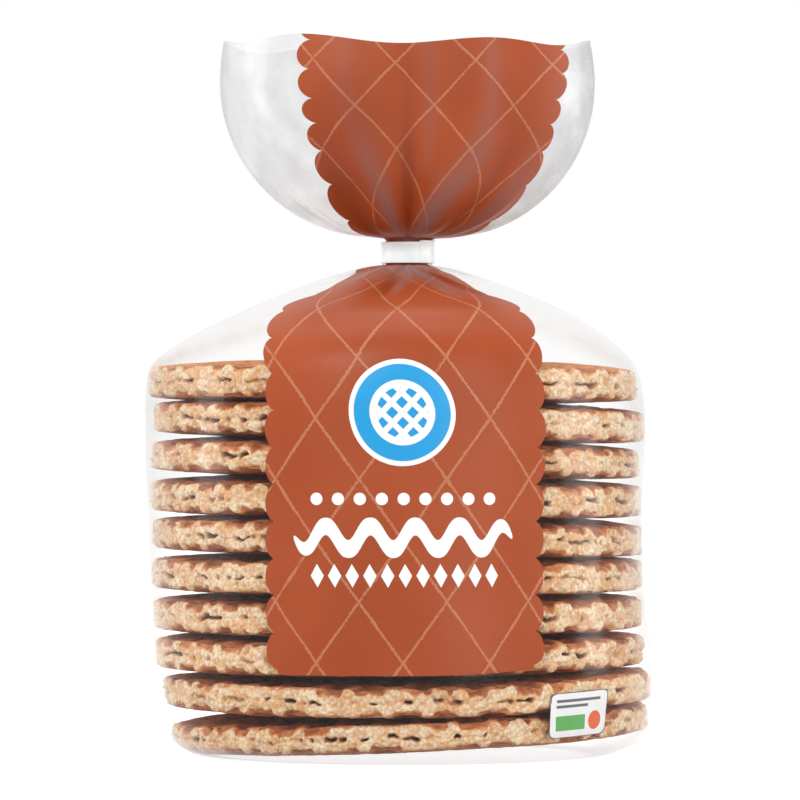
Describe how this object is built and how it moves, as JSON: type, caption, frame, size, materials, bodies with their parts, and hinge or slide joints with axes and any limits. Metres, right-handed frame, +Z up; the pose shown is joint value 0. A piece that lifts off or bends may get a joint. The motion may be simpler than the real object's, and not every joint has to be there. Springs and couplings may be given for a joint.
{
  "type": "bag of stroopwafels",
  "caption": "Tied clear film bag holding an upright stack of round syrup waffles, with a plain terracotta print panel on its front, standing on its flat base.",
  "frame": {"origin": "middle of the base that the bag stands on", "axes": "+Z up through the gathered neck, the printed front faces -Y, +X to the right of the front"},
  "size_m": [0.0886, 0.0872, 0.1252],
  "materials": {
    "clear_film": "clear glossy film",
    "printed_film": "satin terracotta print on film, with chalky line ornament",
    "tie_plastic": "satin white",
    "waffle": "baked crumb, golden, with toasted brown faces",
    "syrup": "thick caramel syrup",
    "sticker": "plain white print"
  },
  "bodies": {
    "root": {"bag": "clear_film", "neck_band": "tie_plastic"}
  },
  "joints": []
}
